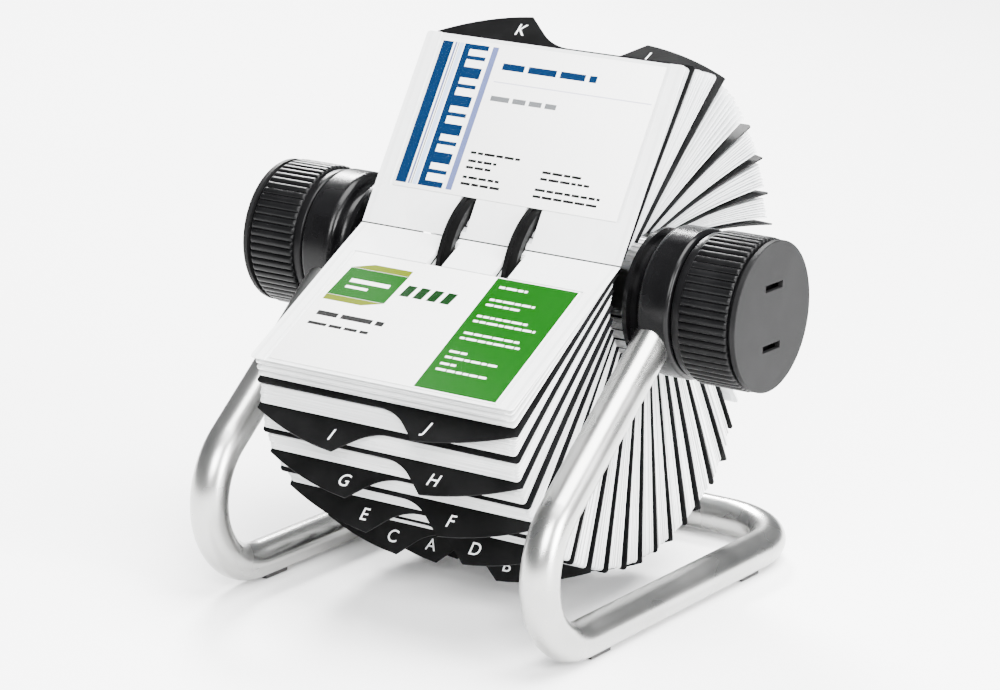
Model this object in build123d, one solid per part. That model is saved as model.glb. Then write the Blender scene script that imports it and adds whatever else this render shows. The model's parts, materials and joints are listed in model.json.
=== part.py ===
from build123d import *
import os
from math import cos, sin, radians

# Rotary card file: a bent tube stand carries a turning hub, and the hub's two T-section rings hold
# clear card sleeves and lettered index dividers by their keyhole slots.
# Millimetres. X runs along the axle, -Y is the front, +Z is up, and Z = 0 is the desk.
# Leaf angles are about the axle: 0 points to the front, 90 points up, 180 points to the back.

# --- Stand -----------------------------------------------------------------------------------
FRAME_DEPTH = 185.8        # front of the bends to the back of the rear bar
AXLE_Y = -1.0              # the axle sits a little in front of the stand's middle
AXLE_HEIGHT = 109.3
TUBE_RADIUS = 6.57
TUBE_WALL = 1.2
ARM_PITCH = 39.5           # arm against the desk
FRONT_BEND_RADIUS = 26.6
REAR_CORNER_RADIUS = 28.4
TUBE_END = 16.0            # the tube stops this far from the axle, inside its housing
FOOT_THICKNESS = 0.8       # rubber under the tube
FOOT_LENGTH = 12.0
FOOT_WIDTH = 5.0
FOOT_HEIGHT = 1.6
FOOT_FRONT_Y = -51.0
FOOT_REAR_Y = 49.0

# --- Bearing housings ------------------------------------------------------------------------
HOUSING_RADIUS = 25.4
HOUSING_WALL = 1.23        # beside the tube's socket
HOUSING_EDGE = 1.6         # rounding of the outboard edge
SHOULDER_WIDTH = 6.0       # S-shaped rise from the groove to the body
FLANGE_RADIUS = 23.4       # flange beside the leaves
FLANGE_WIDTH = 1.6
GROOVE_RADIUS = 20.5
GROOVE_WIDTH = 1.3
LEAF_CLEARANCE = 3.5       # from the leaves to the flange
BUSH_WALL = 2.0
BUSH_FLANGE_RADIUS = 8.5
BUSH_FLANGE = 1.0
RUNNING_CLEARANCE = 0.04   # radial, axle in bush

# --- Axle and hub ----------------------------------------------------------------------------
AXLE_RADIUS = 4.0
AXLE_FLAT = 0.8            # depth of the flats that drive the knobs
RING_SPACING = 26.4        # between the middles of the two rings
RING_RADIUS = 28.0
RIM_WIDTH = 5.0
RIM_THICKNESS = 2.1
RIM_GROOVE_WIDTH = 1.6
RIM_GROOVE_DEPTH = 0.5
RING_WEB = 2.0
WHEEL_HUB_RADIUS = 9.0
WHEEL_HUB_WIDTH = 8.0
WHEEL_HOLES = 6
WHEEL_HOLE_RADIUS = 3.6
WHEEL_HOLE_CIRCLE = 15.0
SLEEVE_TUBE_RADIUS = 7.0   # distance tubes on the axle
END_FLOAT = 0.1            # between the distance tubes and the bush flanges

# --- Knobs -----------------------------------------------------------------------------------
KNOB_RADIUS = 25.8
KNOB_WIDTH = 21.3          # the ribbed part
KNOB_LIP = 3.2             # smooth lip on the inboard side
KNOB_LIP_STEP = 1.2        # the lip stands this far inside the ribs
KNOB_GAP = 0.5             # between the housing and the knob
KNOB_RIBS = 60
RIB_HEIGHT = 0.9
KNOB_WALL = 2.0
KNOB_HUB_RADIUS = 8.0
CAP_THICKNESS = 1.8
CAP_INSET = 0.4            # the cap's edge stands this far inside the ribs
CAP_EDGE = 0.3             # rounding of the cap's edge
CAP_GROOVE_WIDTH = 1.4     # dark line between the ribs and the cap
CAP_GROOVE_DEPTH = 1.9
CAP_SPIGOT_LENGTH = 2.6
CAP_SPIGOT_RADIUS = 20.0
CAP_SPIGOT_WALL = 1.6
CAP_CLEARANCE = 0.05
CAP_SLOT_LENGTH = 11.5
CAP_SLOT_WIDTH = 2.4
CAP_SLOT_OFFSET = 10.2
KNOB_SCREW_RADIUS = 1.6
KNOB_SCREW_LENGTH = 12.0
KNOB_SCREW_HEAD_RADIUS = 3.4
KNOB_SCREW_HEAD = 2.2
SCREW_RECESS_DEPTH = 1.0
SCREW_RECESS_WIDTH = 0.8
SCREW_RECESS_LENGTH = 4.0
WASHER_THICKNESS = 0.4
WASHER_RADIUS = 7.2

# --- Leaves ----------------------------------------------------------------------------------
LEAF_WIDTH = 104.0
LEAF_LENGTH = 72.0
SLEEVE_THICKNESS = 0.15
DIVIDER_THICKNESS = 0.26
TAB_HEIGHT = 10.0
TAB_PEAK_X = 16.5
TAB_FOOT_X = -2.0
TAB_TURN_X = 10.0          # the tab's edge curves up to here and then runs straight to its peak
TAB_TURN_HEIGHT = 4.45
TAB_BULGE = 1.6            # how far the tab's long slope bows outward
SLOT_CLEARANCE = 0.7       # keyhole slot to rim, at each side
NECK_CLEARANCE = 0.5       # keyhole neck to web, at each side
NECK_GAP = 0.3             # the slot starts this far inboard of the rim
SLOT_MARGIN = 1.1          # the slot runs this far past the ring, where a leaf leans most
GROUP_SLEEVES = 8          # sleeves behind each divider
FANNED_SLEEVES = 3         # sleeves behind the open upper one that turn with it
POCKET_FOIL = 0.14         # each side of an open sleeve, over its pocket
POCKET_CLEARANCE = 0.04    # foil to card
POCKET_MARGIN = 1.0        # pocket edge to card
POCKET_FLOOR = 0.3         # pocket floor below the card
CARD_WIDTH = 90.0
CARD_LENGTH = 56.0
CARD_THICKNESS = 0.3
CARD_CLEARANCE = 0.5       # card to ring

LETTERS = ["k", "l", "m", "n", "o", "p", "q", "r", "s", "sch", "t", "u", "v", "w", "xyz",
           "a", "b", "c", "d", "e", "f", "g", "h", "i", "j"]
SLEEVE_NODES = 8           # the groups share this many nodes

# Where some leaves stand: position in the stack, angle of the root edge, how far the root edge is
# inside the ring's rim, and leaning angle.
# Position 0 is the open upper sleeve, and dividers follow every nine leaves from position 4.
STATIONS = [
    (0, 34.6, 4.60, 121.3),
    (4, 42.0, 5.55, 125.2),
    (13, 64.0, 6.40, 138.6),
    (22, 88.0, 6.60, 158.6),
    (31, 101.0, 7.20, 168.4),
    (40, 114.0, 7.60, 177.6),
    (49, 125.0, 7.80, 185.4),
    (58, 182.0, 5.40, 236.4),
    (67, 205.0, 4.60, 238.4),
    (76, 219.0, 4.60, 242.8),
    (85, 231.0, 4.60, 248.0),
    (103, 251.5, 4.60, 256.9),
    (130, 281.5, 4.60, 272.0),
    (157, 312.5, 4.60, 291.5),
    (175, 331.5, 4.60, 301.8),
    (193, 350.0, 4.60, 311.5),
    (202, 361.0, 4.60, 316.0),
    (211, 374.0, 4.60, 319.8),
    (220, 388.0, 4.60, 324.0),
    (224, 393.2, 4.60, 331.0),
]


def x_cylinder(radius, x_start, x_end):
    """A cylinder on the axle line between two X positions."""
    low, high = min(x_start, x_end), max(x_start, x_end)
    plane = Plane(origin=(low, AXLE_Y, AXLE_HEIGHT), x_dir=(0, 1, 0), z_dir=(1, 0, 0))
    return plane * Cylinder(radius, high - low, align=(Align.CENTER, Align.CENTER, Align.MIN))


def x_ring(outer, inner, x_start, x_end):
    """A round tube on the axle line."""
    low, high = min(x_start, x_end), max(x_start, x_end)
    return x_cylinder(outer, low, high) - x_cylinder(inner, low - 1, high + 1)


def turned(profile):
    """A solid turned about the axle from a face drawn in (x, radius)."""
    profile = Plane(origin=(0, AXLE_Y, AXLE_HEIGHT), x_dir=(1, 0, 0), z_dir=(0, -1, 0)) * profile
    return revolve(profile, Axis((0, AXLE_Y, AXLE_HEIGHT), (1, 0, 0)), 360)


def mirrored(shape):
    """The same piece on the left side."""
    return mirror(shape, about=Plane.YZ)


# --- Stand -----------------------------------------------------------------------------------
HOUSING_INNER_X = LEAF_WIDTH / 2 + LEAF_CLEARANCE
HOUSING_BODY_X = HOUSING_INNER_X + FLANGE_WIDTH + GROOVE_WIDTH
HOUSING_OUTER_X = HOUSING_BODY_X + 2 * (TUBE_RADIUS + HOUSING_WALL)
TUBE_PLANE_X = (HOUSING_BODY_X + HOUSING_OUTER_X) / 2
RAIL_Z = TUBE_RADIUS + FOOT_THICKNESS
ARM_UP = Vector(0, cos(radians(ARM_PITCH)), sin(radians(ARM_PITCH)))
ARM_NORMAL = Vector(0, -sin(radians(ARM_PITCH)), cos(radians(ARM_PITCH)))
AXLE_CENTRE = Vector(0, AXLE_Y, AXLE_HEIGHT)


def arm_points():
    """The arm's upper end, the bend's ends and the bend's middle, in the right-hand plane."""
    bend_y = -FRAME_DEPTH / 2 + TUBE_RADIUS + FRONT_BEND_RADIUS
    bend = Vector(TUBE_PLANE_X, bend_y, RAIL_Z + FRONT_BEND_RADIUS)
    arm_start = bend + ARM_NORMAL * FRONT_BEND_RADIUS
    half = radians(270 - (180 - ARM_PITCH) / 2)
    bend_middle = bend + Vector(0, cos(half), sin(half)) * FRONT_BEND_RADIUS
    bend_end = bend - Vector(0, 0, FRONT_BEND_RADIUS)
    top = Vector(TUBE_PLANE_X, 0, 0) + AXLE_CENTRE - ARM_UP * TUBE_END
    top = top + ARM_NORMAL * (arm_start - top).dot(ARM_NORMAL)
    return top, arm_start, bend_middle, bend_end


def tube_path():
    """The centreline of the whole bent tube."""
    top, arm_start, bend_middle, bend_end = arm_points()
    rear_y = FRAME_DEPTH / 2 - TUBE_RADIUS
    corner_y = rear_y - REAR_CORNER_RADIUS
    corner_x = TUBE_PLANE_X - REAR_CORNER_RADIUS
    diagonal = REAR_CORNER_RADIUS * cos(radians(45))
    right = [
        Line(top, arm_start),
        ThreePointArc(arm_start, bend_middle, bend_end),
        Line(bend_end, (TUBE_PLANE_X, corner_y, RAIL_Z)),
        ThreePointArc((TUBE_PLANE_X, corner_y, RAIL_Z),
                      (corner_x + diagonal, corner_y + diagonal, RAIL_Z),
                      (corner_x, rear_y, RAIL_Z)),
    ]
    left = [edge.mirror(Plane.YZ) for edge in right]
    bar = Line((corner_x, rear_y, RAIL_Z), (-corner_x, rear_y, RAIL_Z))
    return Wire(right + [bar] + left)


def tube_frame():
    top = arm_points()[0]
    end = Plane(origin=top, x_dir=(1, 0, 0), z_dir=-ARM_UP)
    path = tube_path()
    outer = sweep(end * Circle(TUBE_RADIUS), path)
    inner = sweep(end * Circle(TUBE_RADIUS - TUBE_WALL), path)
    return outer - inner


def foot_pads():
    pads = []
    for side in (1, -1):
        for y in (FOOT_FRONT_Y, FOOT_REAR_Y):
            pad = Pos(side * TUBE_PLANE_X, y, FOOT_HEIGHT / 2) * Box(FOOT_WIDTH, FOOT_LENGTH, FOOT_HEIGHT)
            rail = Pos(side * TUBE_PLANE_X, y, RAIL_Z) * Rot(X=90) * Cylinder(TUBE_RADIUS, 2 * FOOT_LENGTH)
            pads.append(pad - rail)
    return pads


# --- Bearing housings ------------------------------------------------------------------------
BUSH_RADIUS = AXLE_RADIUS + RUNNING_CLEARANCE + BUSH_WALL


def housing_outline():
    """Half of the housing's section: flange, groove, S-shaped shoulder and body."""
    flange_x = HOUSING_INNER_X + FLANGE_WIDTH
    shoulder_x = HOUSING_BODY_X + SHOULDER_WIDTH
    start = (HOUSING_BODY_X, GROOVE_RADIUS)
    turn = ((HOUSING_BODY_X + shoulder_x) / 2, (GROOVE_RADIUS + HOUSING_RADIUS) / 2)
    edge_x = HOUSING_OUTER_X - HOUSING_EDGE
    edge_radius = HOUSING_RADIUS - HOUSING_EDGE
    flange = Polyline((HOUSING_OUTER_X, 0), (HOUSING_INNER_X, 0), (HOUSING_INNER_X, FLANGE_RADIUS),
                      (flange_x, FLANGE_RADIUS), (flange_x, GROOVE_RADIUS), start)
    cove = TangentArc(start, turn, tangent=(1, 0))
    shoulder = TangentArc(turn, (shoulder_x, HOUSING_RADIUS), tangent=cove % 1)
    body = Line((shoulder_x, HOUSING_RADIUS), (edge_x, HOUSING_RADIUS))
    edge = TangentArc((edge_x, HOUSING_RADIUS), (HOUSING_OUTER_X, edge_radius), tangent=(1, 0))
    face = Line((HOUSING_OUTER_X, edge_radius), (HOUSING_OUTER_X, 0))
    return make_face(Wire(flange.edges() + [cove, shoulder, body, edge, face]))


def right_housing():
    """Round housing with a socket and a spigot for the tube's end."""
    body = turned(housing_outline())
    end = Plane(origin=arm_points()[0], x_dir=(1, 0, 0), z_dir=-ARM_UP)
    grown = (Align.CENTER, Align.CENTER, Align.MIN)
    socket = end * Cylinder(TUBE_RADIUS, 2 * HOUSING_RADIUS, align=grown)
    spigot = end * Cylinder(TUBE_RADIUS - TUBE_WALL, HOUSING_RADIUS, align=grown)
    bore = x_cylinder(BUSH_RADIUS, 0, 2 * HOUSING_OUTER_X)
    return body - socket + spigot - bore


def right_bush():
    """Flanged bush, a press fit in the housing."""
    sleeve = x_cylinder(BUSH_RADIUS, HOUSING_INNER_X, HOUSING_OUTER_X)
    flange = x_cylinder(BUSH_FLANGE_RADIUS, HOUSING_INNER_X - BUSH_FLANGE, HOUSING_INNER_X)
    return sleeve + flange - x_cylinder(AXLE_RADIUS + RUNNING_CLEARANCE, 0, 2 * HOUSING_OUTER_X)


# --- Axle and hub ----------------------------------------------------------------------------
RING_X = RING_SPACING / 2
KNOB_INNER_X = HOUSING_OUTER_X + KNOB_GAP
KNOB_RIB_X = KNOB_INNER_X + KNOB_LIP
KNOB_OUTER_X = KNOB_RIB_X + KNOB_WIDTH
KNOB_LIP_RADIUS = KNOB_RADIUS - KNOB_LIP_STEP
CAP_RADIUS = KNOB_RADIUS - CAP_INSET
CAP_SEAT_X = KNOB_OUTER_X - CAP_THICKNESS
KNOB_FLOOR_X = CAP_SEAT_X - CAP_SPIGOT_LENGTH - CAP_CLEARANCE
AXLE_END_X = KNOB_FLOOR_X - KNOB_WALL - KNOB_SCREW_HEAD


def knob_flats(x_start, x_end):
    """The metal left of the axle's end between two X positions, a flat on each side."""
    shank = x_cylinder(AXLE_RADIUS, x_start, x_end)
    middle = Pos((x_start + x_end) / 2, AXLE_Y, AXLE_HEIGHT)
    across = 2 * (AXLE_RADIUS - AXLE_FLAT)
    return shank & (middle * Box(x_end - x_start, 4 * AXLE_RADIUS, across))


def axle():
    """Steel axle with flats and a screw hole at each end."""
    shaft = x_cylinder(AXLE_RADIUS, -KNOB_INNER_X, KNOB_INNER_X)
    end = knob_flats(KNOB_INNER_X, AXLE_END_X)
    hole = x_cylinder(KNOB_SCREW_RADIUS, AXLE_END_X - KNOB_SCREW_LENGTH, AXLE_END_X + 1)
    return shaft + end + mirrored(end) - hole - mirrored(hole)


def right_ring_wheel():
    """Moulded wheel with a T-section rim that the leaves hang on."""
    rim_side = RIM_WIDTH / 2
    web_side = RING_WEB / 2
    hub_side = WHEEL_HUB_WIDTH / 2
    rim_inner = RING_RADIUS - RIM_THICKNESS
    groove_side = RIM_GROOVE_WIDTH / 2
    groove_floor = RING_RADIUS - RIM_GROOVE_DEPTH
    half = [(hub_side, AXLE_RADIUS), (hub_side, WHEEL_HUB_RADIUS), (web_side, WHEEL_HUB_RADIUS),
            (web_side, rim_inner), (rim_side, rim_inner), (rim_side, RING_RADIUS),
            (groove_side, RING_RADIUS), (groove_side, groove_floor)]
    outline = half + [(-x, r) for x, r in reversed(half)]
    wheel = turned(make_face(Polyline(*[(RING_X + x, r) for x, r in outline], close=True)))
    for number in range(WHEEL_HOLES):
        angle = radians(360 / WHEEL_HOLES * number)
        away = Pos(0, WHEEL_HOLE_CIRCLE * cos(angle), WHEEL_HOLE_CIRCLE * sin(angle))
        wheel -= away * x_cylinder(WHEEL_HOLE_RADIUS, RING_X - web_side - 1, RING_X + web_side + 1)
    return wheel


def hub_spacer():
    inner = RING_X - WHEEL_HUB_WIDTH / 2
    return x_ring(SLEEVE_TUBE_RADIUS, AXLE_RADIUS, -inner, inner)


def axle_tubes():
    """Two distance tubes between the wheels and the bushes."""
    outer = HOUSING_INNER_X - BUSH_FLANGE - END_FLOAT
    tube = x_ring(SLEEVE_TUBE_RADIUS, AXLE_RADIUS, RING_X + WHEEL_HUB_WIDTH / 2, outer)
    return [tube, mirrored(tube)]


# --- Knobs -----------------------------------------------------------------------------------
def ribbed_disc(x_start, x_end):
    """A disc whose edge is a row of rounded ribs."""
    valley = KNOB_RADIUS - RIB_HEIGHT
    step = radians(360 / KNOB_RIBS)
    ribs = []
    for number in range(KNOB_RIBS):
        start, middle, end = (step * (number + part) for part in (0, 0.5, 1))
        ribs.append(ThreePointArc((valley * cos(start), valley * sin(start)),
                                  (KNOB_RADIUS * cos(middle), KNOB_RADIUS * sin(middle)),
                                  (valley * cos(end), valley * sin(end))))
    face = make_face(Wire(ribs))
    plane = Plane(origin=(x_start, AXLE_Y, AXLE_HEIGHT), x_dir=(0, 1, 0), z_dir=(1, 0, 0))
    return extrude(plane * face, x_end - x_start)


def right_knob():
    """Ribbed cup with a hub that is driven by the axle's flats."""
    groove_x = CAP_SEAT_X - CAP_GROOVE_WIDTH
    knob = ribbed_disc(KNOB_RIB_X, groove_x)
    knob += x_cylinder(KNOB_LIP_RADIUS, KNOB_INNER_X, KNOB_RIB_X)
    knob += x_cylinder(KNOB_RADIUS - CAP_GROOVE_DEPTH, groove_x, CAP_SEAT_X)
    knob -= x_cylinder(KNOB_LIP_RADIUS - KNOB_WALL, KNOB_INNER_X - 1, KNOB_FLOOR_X - KNOB_WALL)
    knob -= x_cylinder(CAP_SPIGOT_RADIUS + CAP_CLEARANCE, KNOB_FLOOR_X, KNOB_OUTER_X)
    knob += x_cylinder(KNOB_HUB_RADIUS, KNOB_INNER_X + WASHER_THICKNESS, KNOB_FLOOR_X)
    knob -= knob_flats(KNOB_INNER_X - 1, AXLE_END_X)
    knob -= x_cylinder(KNOB_SCREW_HEAD_RADIUS, AXLE_END_X, KNOB_OUTER_X)
    return knob


def right_knob_cap():
    """Cap disc with two slots and a ring that plugs into the knob."""
    cap = x_cylinder(CAP_RADIUS, CAP_SEAT_X, KNOB_OUTER_X)
    cap = fillet(cap.edges().sort_by(Axis.X)[-1], CAP_EDGE)
    cap += x_ring(CAP_SPIGOT_RADIUS, CAP_SPIGOT_RADIUS - CAP_SPIGOT_WALL,
                  KNOB_FLOOR_X + CAP_CLEARANCE, CAP_SEAT_X)
    for side in (1, -1):
        slot = Rectangle(CAP_SLOT_LENGTH, CAP_SLOT_WIDTH)
        plane = Plane(origin=(CAP_SEAT_X - 1, AXLE_Y, AXLE_HEIGHT + side * CAP_SLOT_OFFSET),
                      x_dir=(0, 1, 0), z_dir=(1, 0, 0))
        cap -= extrude(plane * slot, CAP_THICKNESS + 2)
    return cap


def knob_screws():
    """One screw at each end of the axle."""
    shank = x_cylinder(KNOB_SCREW_RADIUS, AXLE_END_X - KNOB_SCREW_LENGTH, AXLE_END_X)
    head = x_cylinder(KNOB_SCREW_HEAD_RADIUS, AXLE_END_X, AXLE_END_X + KNOB_SCREW_HEAD)
    middle = Pos(AXLE_END_X + KNOB_SCREW_HEAD, AXLE_Y, AXLE_HEIGHT)
    bar = Box(2 * SCREW_RECESS_DEPTH, SCREW_RECESS_WIDTH, SCREW_RECESS_LENGTH)
    screw = shank + head - middle * bar - middle * Rot(X=90) * bar
    return [screw, mirrored(screw)]


def friction_washers():
    """A wave washer between each bush and knob, drawn flat."""
    inner = AXLE_RADIUS + 2 * RUNNING_CLEARANCE
    middle = (HOUSING_OUTER_X + KNOB_INNER_X + WASHER_THICKNESS) / 2
    ring = x_ring(WASHER_RADIUS, inner, middle - WASHER_THICKNESS / 2, middle + WASHER_THICKNESS / 2)
    return [ring, mirrored(ring)]


# --- Leaves ----------------------------------------------------------------------------------
def station(position):
    """Root angle, root radius and leaning angle of the leaf at a position in the stack."""
    for low, high in zip(STATIONS, STATIONS[1:]):
        if low[0] <= position <= high[0]:
            share = (position - low[0]) / (high[0] - low[0])
            angle, inset, lean = (a + (b - a) * share for a, b in zip(low[1:], high[1:]))
            return angle, RING_RADIUS - inset, lean


def leaf_plane(position):
    """A leaf's plane: X across it, Y from its root edge to its outer edge."""
    root, radius, lean = station(position)
    origin = AXLE_CENTRE + Vector(0, -cos(radians(root)), sin(radians(root))) * radius
    along = (0, -cos(radians(lean)), sin(radians(lean)))
    return Plane(origin=origin, x_dir=(1, 0, 0), z_dir=(0, -along[2], along[1]))


def ring_crossing(position):
    """How far from its root edge a leaf meets the ring's outer edge."""
    angle, radius, lean = station(position)
    across = radius * sin(radians(lean - angle))
    return (RING_RADIUS**2 - across**2) ** 0.5 - radius * cos(radians(lean - angle))


NECK_LENGTH = min(place[2] for place in STATIONS) - RIM_THICKNESS - NECK_GAP
RING_REACH = max(ring_crossing(place[0]) for place in STATIONS)
SLOT_END = RING_REACH + SLOT_MARGIN
CARD_START = RING_REACH + CARD_CLEARANCE


def keyholes():
    """The two keyhole slots that straddle the rings."""
    slot_width = RIM_WIDTH + 2 * SLOT_CLEARANCE
    neck_width = RING_WEB + 2 * NECK_CLEARANCE
    low = (Align.CENTER, Align.MIN)
    slots = Sketch()
    for side in (1, -1):
        slots += Pos(side * RING_X, NECK_LENGTH) * Rectangle(slot_width, SLOT_END - NECK_LENGTH, align=low)
        slots += Pos(side * RING_X, -1) * Rectangle(neck_width, NECK_LENGTH + 2, align=low)
    return slots


def leaf_outline():
    return Rectangle(LEAF_WIDTH, LEAF_LENGTH, align=(Align.CENTER, Align.MIN)) - keyholes()


def plate(outline, thickness):
    """An outline made solid, half of its thickness to each side of the leaf's plane."""
    return Pos(0, 0, -thickness / 2) * extrude(outline, thickness)


def divider_outline(side):
    """A leaf with a fin-shaped tab that peaks on one side."""
    base, peak = LEAF_LENGTH, LEAF_LENGTH + TAB_HEIGHT
    turn = (TAB_TURN_X, base + TAB_TURN_HEIGHT)
    corner = LEAF_WIDTH / 2
    rise = TangentArc((TAB_FOOT_X, base), turn, tangent=(1, 0))
    crest = Line(turn, (TAB_PEAK_X, peak))
    middle = ((TAB_PEAK_X + corner) / 2, (base + peak) / 2 + TAB_BULGE)
    slope = ThreePointArc((TAB_PEAK_X, peak), middle, (corner, base))
    tab = make_face(Wire([rise, crest, slope, Line((corner, base), (TAB_FOOT_X, base))]))
    if side < 0:
        tab = mirror(tab, about=Plane.YZ)
    return leaf_outline() + tab


def pocket_sleeve():
    """An open sleeve: one foil at the root, and two foils over the card."""
    floor = CARD_START - POCKET_FLOOR
    seam = floor - POCKET_FLOOR
    low = (Align.CENTER, Align.MIN)
    double = Pos(0, seam) * Rectangle(LEAF_WIDTH, LEAF_LENGTH - seam, align=low) - keyholes()
    hollow = CARD_THICKNESS + 2 * POCKET_CLEARANCE
    pocket = Pos(0, floor) * Rectangle(CARD_WIDTH + 2 * POCKET_MARGIN, LEAF_LENGTH, align=low)
    foils = plate(leaf_outline(), SLEEVE_THICKNESS) + plate(double, hollow + 2 * POCKET_FOIL)
    return foils - plate(pocket, hollow)


def business_card():
    card = Pos(0, CARD_START) * Rectangle(CARD_WIDTH, CARD_LENGTH, align=(Align.CENTER, Align.MIN))
    return plate(card, CARD_THICKNESS)


# --- Assembly --------------------------------------------------------------------------------
def leaves():
    """Every leaf in its place, by node name."""
    parts = {}
    sleeve = plate(leaf_outline(), SLEEVE_THICKNESS)
    dividers = [plate(divider_outline(side), DIVIDER_THICKNESS) for side in (1, -1)]
    group = GROUP_SLEEVES + 1
    first = FANNED_SLEEVES + 1
    last = len(LETTERS) * group - 1
    parts["upper_open_sleeve"] = leaf_plane(0) * pocket_sleeve()
    parts["upper_card"] = leaf_plane(0) * business_card()
    parts["lower_open_sleeve"] = leaf_plane(last) * pocket_sleeve()
    parts["lower_card"] = leaf_plane(last) * business_card()
    for number in range(1, first):
        parts[f"fanned_sleeve_{number}"] = leaf_plane(number) * sleeve
    for number, letter in enumerate(LETTERS):
        place = first + number * group
        parts[f"divider_{letter}"] = leaf_plane(place) * dividers[tab_side(letter)]
    full_groups = len(LETTERS) - 1
    per_node = full_groups // SLEEVE_NODES
    for start in range(0, full_groups, per_node):
        stack = []
        for number in range(start, start + per_node):
            place = first + number * group
            stack += [leaf_plane(place + step) * sleeve for step in range(1, group)]
        parts[f"sleeves_{LETTERS[start]}_to_{LETTERS[start + per_node - 1]}"] = stack
    parts["sleeves_j"] = [leaf_plane(place) * sleeve for place in range(last - FANNED_SLEEVES, last)]
    return parts


def tab_side(letter):
    """Tabs alternate through the alphabet: A at the left, B at the right."""
    first = LETTERS.index("a")
    alphabet = LETTERS[first:] + LETTERS[:first]
    return (alphabet.index(letter) + 1) % 2


def write(name, shape):
    pieces = shape if isinstance(shape, list) else [shape]
    solids = [solid for piece in pieces for solid in piece.solids()]
    whole = solids[0] if len(solids) == 1 else Compound(children=solids)
    whole.label = name
    export_step(whole, f"parts/{name}.step")


def main():
    os.makedirs("parts", exist_ok=True)
    pairs = {"housing": right_housing(), "bush": right_bush(), "ring_wheel": right_ring_wheel(),
             "knob": right_knob(), "knob_cap": right_knob_cap()}
    parts = {"tube_frame": tube_frame(), "foot_pads": foot_pads(), "axle": axle(),
             "hub_spacer": hub_spacer(), "axle_tubes": axle_tubes(), "knob_screws": knob_screws(),
             "friction_washers": friction_washers()}
    for name, shape in pairs.items():
        parts[f"right_{name}"] = shape
        parts[f"left_{name}"] = mirrored(shape)
    parts.update(leaves())
    for name, shape in parts.items():
        write(name, shape)


main()
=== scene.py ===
import json
import math
import random

import bmesh
import bpy
from mathutils import Matrix, Vector


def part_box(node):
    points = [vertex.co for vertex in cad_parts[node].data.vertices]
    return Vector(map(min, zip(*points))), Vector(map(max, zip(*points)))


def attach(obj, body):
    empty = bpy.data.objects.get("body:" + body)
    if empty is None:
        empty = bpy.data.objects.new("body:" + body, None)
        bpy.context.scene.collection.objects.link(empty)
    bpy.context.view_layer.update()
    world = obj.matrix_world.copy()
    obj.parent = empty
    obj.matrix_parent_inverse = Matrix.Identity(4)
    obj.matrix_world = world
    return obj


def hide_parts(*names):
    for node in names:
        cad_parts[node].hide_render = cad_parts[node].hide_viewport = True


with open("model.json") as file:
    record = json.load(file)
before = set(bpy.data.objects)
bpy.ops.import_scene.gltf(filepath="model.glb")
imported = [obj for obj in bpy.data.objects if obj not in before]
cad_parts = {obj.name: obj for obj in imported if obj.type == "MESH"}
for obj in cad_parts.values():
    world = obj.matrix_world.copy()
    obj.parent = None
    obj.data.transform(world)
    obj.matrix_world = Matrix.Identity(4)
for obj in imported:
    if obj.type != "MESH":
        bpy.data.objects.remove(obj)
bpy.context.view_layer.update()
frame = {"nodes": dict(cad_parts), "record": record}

# Looks for the rotary card file. Leaf coordinates are millimetres: x across the leaf, v from its
# root edge to its outer edge, and w along its normal. Everything else is in metres.
MM = 0.001
NODES = frame["nodes"]
BODY_OF = {node: body for body, members in frame["record"]["behaviour"]["bodies"].items()
           for node in members}
random.seed(20)

# --- Leaf sizes --------------------------------------------------------------------------------
HALF_WIDTH = 52.0
LEAF_LENGTH = 72.0
CORNER = 1.3
RING_X = 13.2
SLOT_HALF = 3.2
NECK_HALF = 1.5
NECK_LENGTH = 2.2
SLOT_END = 15.2
TAB_HEIGHT = 10.0
TAB_FOOT = -2.0
TAB_TURN = (10.0, 4.45)
TAB_PEAK = 16.5
TAB_BULGE = 1.6
FOIL = 0.13
MOUTH_DEPTH = 5.0
MOUTH_HALF = 49.0
SLEEVES_PER_GROUP = 8
BUNCHING = 0.23            # how far a group's sleeves draw together, for each step and pitch
SAG = 1.3                  # how far a level leaf's middle stands above the line between its ends
SLEEVE_INSET = 0.9         # the dividers stand this far past the sleeves' sides
CARD_HALF = 45.0
CARD_START = 14.6
CARD_LENGTH = 56.0
CARD_TOP = 0.15            # half of the card's thickness
POCKET_TOP = 0.33          # half of an open sleeve's thickness
INK = 0.015                # how far print stands on its sheet
POCKET_MARGIN = 1.0        # pocket edge to card
POCKET_FLOOR = 0.35        # pocket floor below the card
POCKET_FOIL = 0.045        # half of the thickness of each foil over a pocket
DIVIDER_HALF = (0.13, 0.3)  # least and most half thickness of a divider
LETTER_LEVEL = 0.3         # a letter's foot, from the middle of its divider
LETTER_THICK = 0.03
LETTER_RISE = 4.3          # middle of a letter above the leaf's outer edge
LOOSE_AFTER = 12           # leaves from either end before the stack hangs freely
UNEVEN_AFTER = 3           # leaves from either end before they lie unevenly

# --- Film and paper: how much darker each detail is, and where the weld line runs ----------------
SHEET_SHADE = 0.8          # the darkest sheet against the lightest
HAZE_SHADE = 0.92
WELD_SHADE = 0.8
FIBRE_SHADE = 0.93
WELD_X = 50.0
WELD_HALF = 0.6
UV_SCALE = 100             # millimetres of a leaf for one unit of its UV map

# --- Knob section ------------------------------------------------------------------------------
KNOB_LIP = 3.2
KNOB_LIP_STEP = 1.2        # the lip stands this far inside the ribs
KNOB_GROOVE = 1.4          # width of the groove beside the cap
KNOB_GROOVE_DEPTH = 1.9
KNOB_WALL = 2.0
KNOB_DEPTH = 14.0          # inside of the cup
KNOB_HUB = 8.0
KNOB_BORE = 4.0
KNOB_FLOOR = 2.6           # floor below the cap's seat
CAP_BORE = 20.05
HUB_START = 0.4            # the washer's room
RIB_HEIGHT = 0.95
RIB_ENDS = (1.3, 1.1)      # length of the rounding at a rib's inboard and outboard end

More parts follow.
